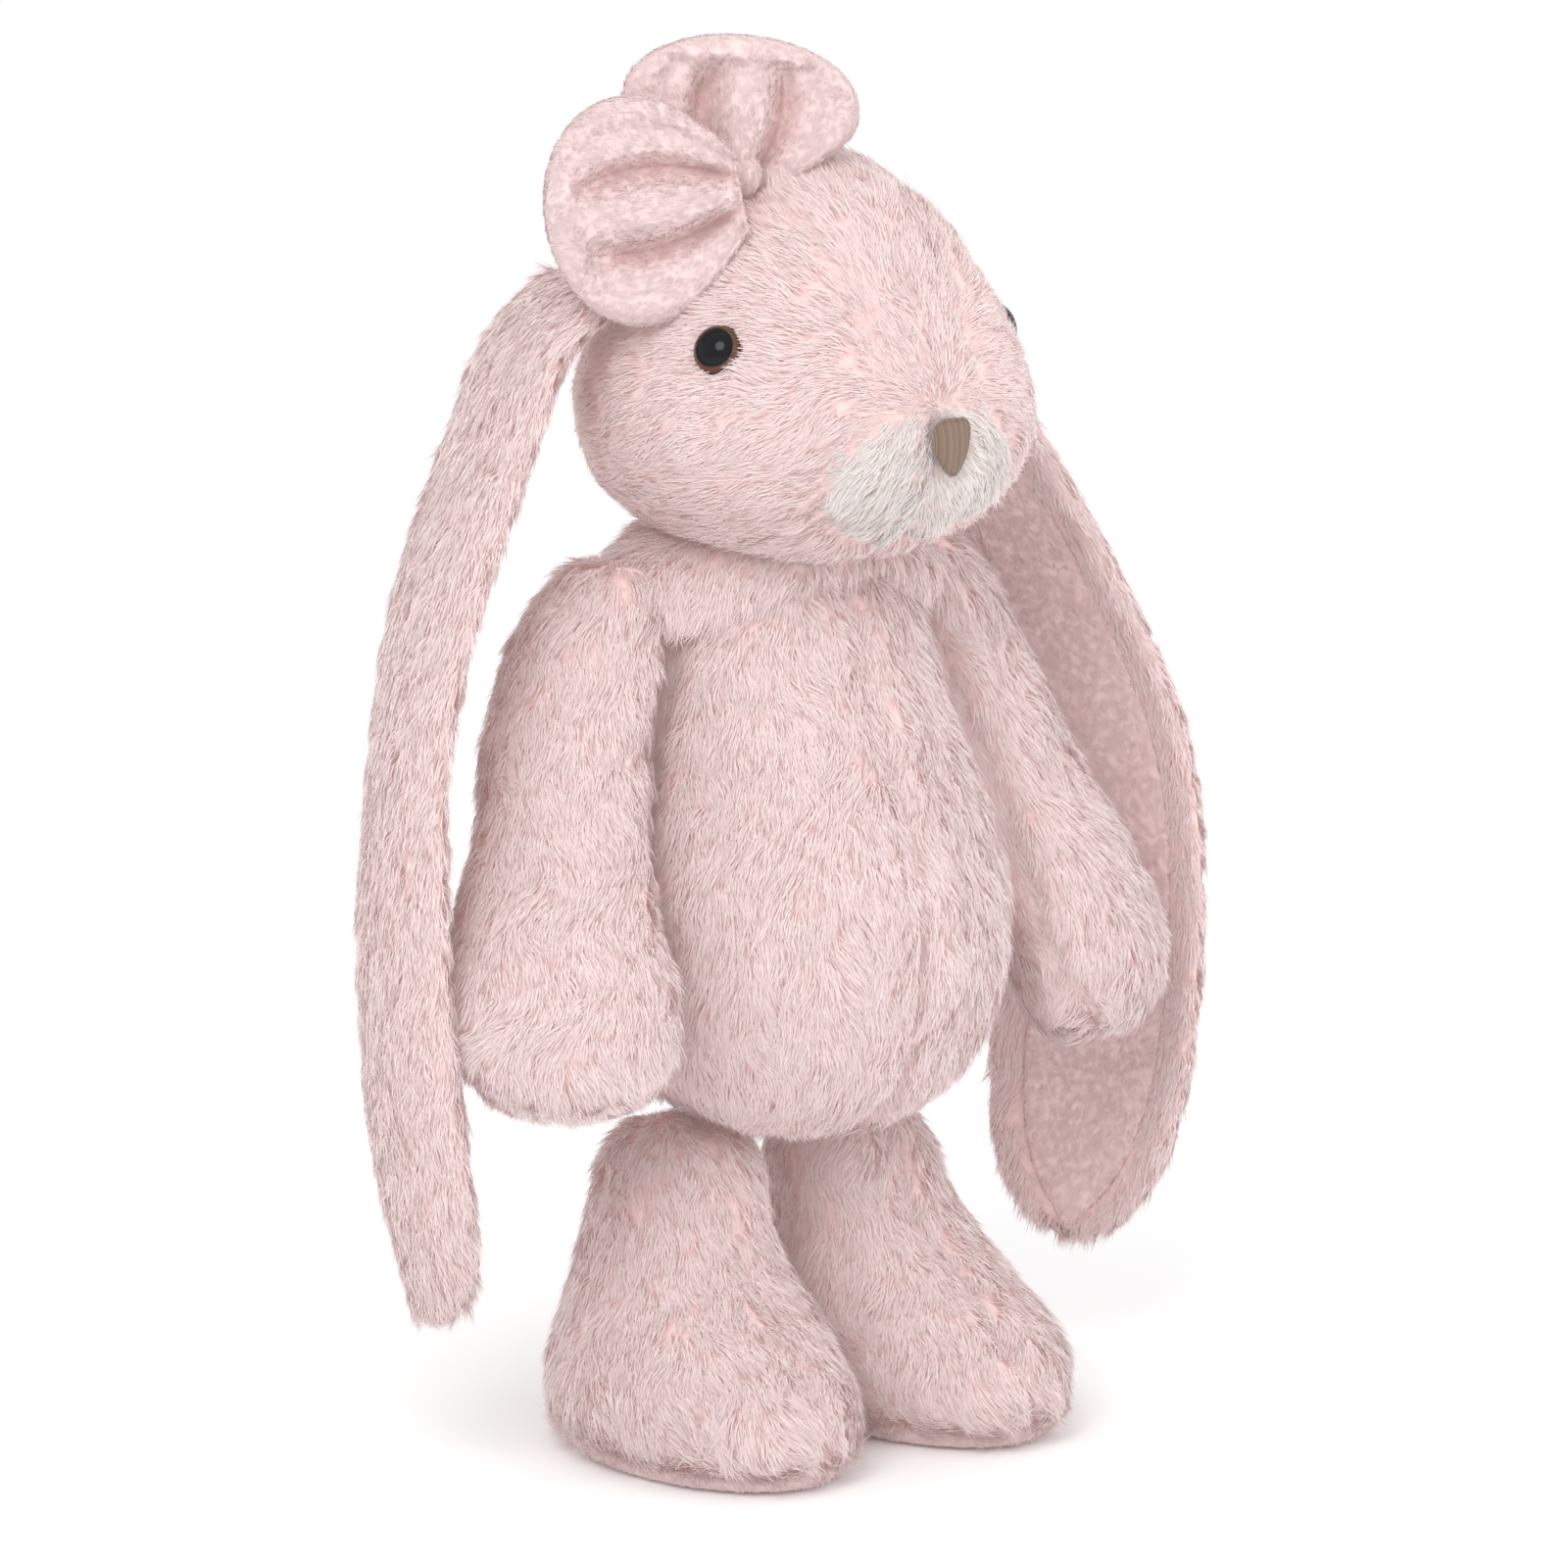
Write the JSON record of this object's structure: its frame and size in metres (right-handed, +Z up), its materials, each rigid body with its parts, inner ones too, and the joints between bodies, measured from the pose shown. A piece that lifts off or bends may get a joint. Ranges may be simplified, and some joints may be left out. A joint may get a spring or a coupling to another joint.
{
  "type": "stuffed bunny rabbit",
  "caption": "Soft stuffed rabbit with long hanging lined ears, a gathered bow on its head, hanging arms and flat-soled feet, so it stands on its own.",
  "frame": {"origin": "middle of the footprint, on the ground under the feet", "axes": "+Z up, the rabbit faces -Y, its left side is +X"},
  "size_m": [0.2054, 0.1098, 0.2925],
  "materials": {
    "pink_plush": "long soft pale pink pile",
    "cream_plush": "long soft cream pile",
    "pink_minky": "short dense pink pile",
    "brown_thread": "satin-stitch embroidery thread",
    "fiberfill": "white polyester filling",
    "pouch_cloth": "plain woven pouch with granules inside",
    "label_satin": "blank white satin tape",
    "eye_plastic": "clear-coated brown and black",
    "washer_plastic": "moulded"
  },
  "bodies": {
    "torso": {"torso_front_right": "pink_plush", "torso_front_left": "pink_plush", "torso_back_right": "pink_plush", "torso_back_left": "pink_plush", "torso_stuffing": "fiberfill", "torso_bean_pouch": "pouch_cloth", "tail_cover": "pink_plush", "tail_stuffing": "fiberfill", "care_label": "label_satin"},
    "neck": {"neck_stuffing": "fiberfill"},
    "head": {"eye_right": "eye_plastic", "eye_right_lock_washer": "washer_plastic", "eye_left": "eye_plastic", "eye_left_lock_washer": "washer_plastic", "nose_embroidery": "brown_thread", "head_stuffing": "fiberfill", "head_gusset": "pink_plush", "muzzle_right": "cream_plush", "head_side_right": "pink_plush", "muzzle_left": "cream_plush", "head_side_left": "pink_plush", "bow_gather": "pink_minky", "bow_loop_top": "pink_minky", "bow_loop_side": "pink_minky", "ear_right_outer_root": "pink_plush", "ear_right_lining_root": "pink_minky", "ear_left_outer_root": "pink_plush", "ear_left_lining_root": "pink_minky"},
    "ear_right_upper": {"ear_right_outer_upper": "pink_plush", "ear_right_lining_upper": "pink_minky"},
    "ear_right_lower": {"ear_right_outer_lower": "pink_plush", "ear_right_lining_lower": "pink_minky"},
    "arm_right": {"arm_right_front_panel": "pink_plush", "arm_right_back_panel": "pink_plush", "arm_right_stuffing": "fiberfill"},
    "leg_right": {"leg_right_outer_panel": "pink_plush", "leg_right_inner_panel": "pink_plush", "foot_right_sole": "pink_minky", "sole_right_stitched_mark": "brown_thread", "leg_right_stuffing": "fiberfill", "foot_right_bean_pouch": "pouch_cloth"},
    "ear_left_upper": {"ear_left_outer_upper": "pink_plush", "ear_left_lining_upper": "pink_minky"},
    "ear_left_lower": {"ear_left_outer_lower": "pink_plush", "ear_left_lining_lower": "pink_minky"},
    "arm_left": {"arm_left_front_panel": "pink_plush", "arm_left_back_panel": "pink_plush", "arm_left_stuffing": "fiberfill"},
    "leg_left": {"leg_left_outer_panel": "pink_plush", "leg_left_inner_panel": "pink_plush", "foot_left_sole": "pink_minky", "sole_left_stitched_mark": "brown_thread", "leg_left_stuffing": "fiberfill", "foot_left_bean_pouch": "pouch_cloth"}
  },
  "joints": [
    {"name": "neck_turn", "type": "hinge", "parent": "torso", "child": "neck", "pos_m": [-0.00137, -0.0001, 0.186], "axis": [0, 0, 1], "range_deg": [-8, 8], "stiffness_Nm_per_rad": 0.4},
    {"name": "neck_nod", "type": "hinge", "parent": "neck", "child": "head", "pos_m": [-0.00137, -0.0001, 0.186], "axis": [-1, 0, 0], "range_deg": [-8, 8], "stiffness_Nm_per_rad": 0.5},
    {"name": "ear_right_lift", "type": "hinge", "parent": "head", "child": "ear_right_upper", "pos_m": [-0.06307, 0.01145, 0.22155], "axis": [0.0716, 0.9921, -0.1029], "range_deg": [0, 50]},
    {"name": "ear_right_bend", "type": "hinge", "parent": "ear_right_upper", "child": "ear_right_lower", "pos_m": [-0.09317, 0.01158, 0.13405], "axis": [0.4201, 0.9071, -0.0254], "range_deg": [0, 35]},
    {"name": "shoulder_right", "type": "hinge", "parent": "torso", "child": "arm_right", "pos_m": [-0.04037, 0.0079, 0.171], "axis": [-1, 0, 0], "range_deg": [-4, 60], "stiffness_Nm_per_rad": 0.1},
    {"name": "hip_right", "type": "hinge", "parent": "torso", "child": "leg_right", "pos_m": [-0.02387, 0.0079, 0.056], "axis": [-1, 0, 0], "range_deg": [-15, 24], "stiffness_Nm_per_rad": 1.2},
    {"name": "ear_left_lift", "type": "hinge", "parent": "head", "child": "ear_left_upper", "pos_m": [0.05696, 0.01312, 0.21366], "axis": [0.1077, -0.9924, 0.0594], "range_deg": [0, 50]},
    {"name": "ear_left_bend", "type": "hinge", "parent": "ear_left_upper", "child": "ear_left_lower", "pos_m": [0.09221, 0.00895, 0.12737], "axis": [0.4059, -0.9085, 0.0992], "range_deg": [0, 35]},
    {"name": "shoulder_left", "type": "hinge", "parent": "torso", "child": "arm_left", "pos_m": [0.03763, 0.0079, 0.171], "axis": [-1, 0, 0], "range_deg": [-4, 60], "stiffness_Nm_per_rad": 0.1},
    {"name": "hip_left", "type": "hinge", "parent": "torso", "child": "leg_left", "pos_m": [0.02113, 0.0079, 0.056], "axis": [-1, 0, 0], "range_deg": [-15, 24], "stiffness_Nm_per_rad": 1.2}
  ]
}
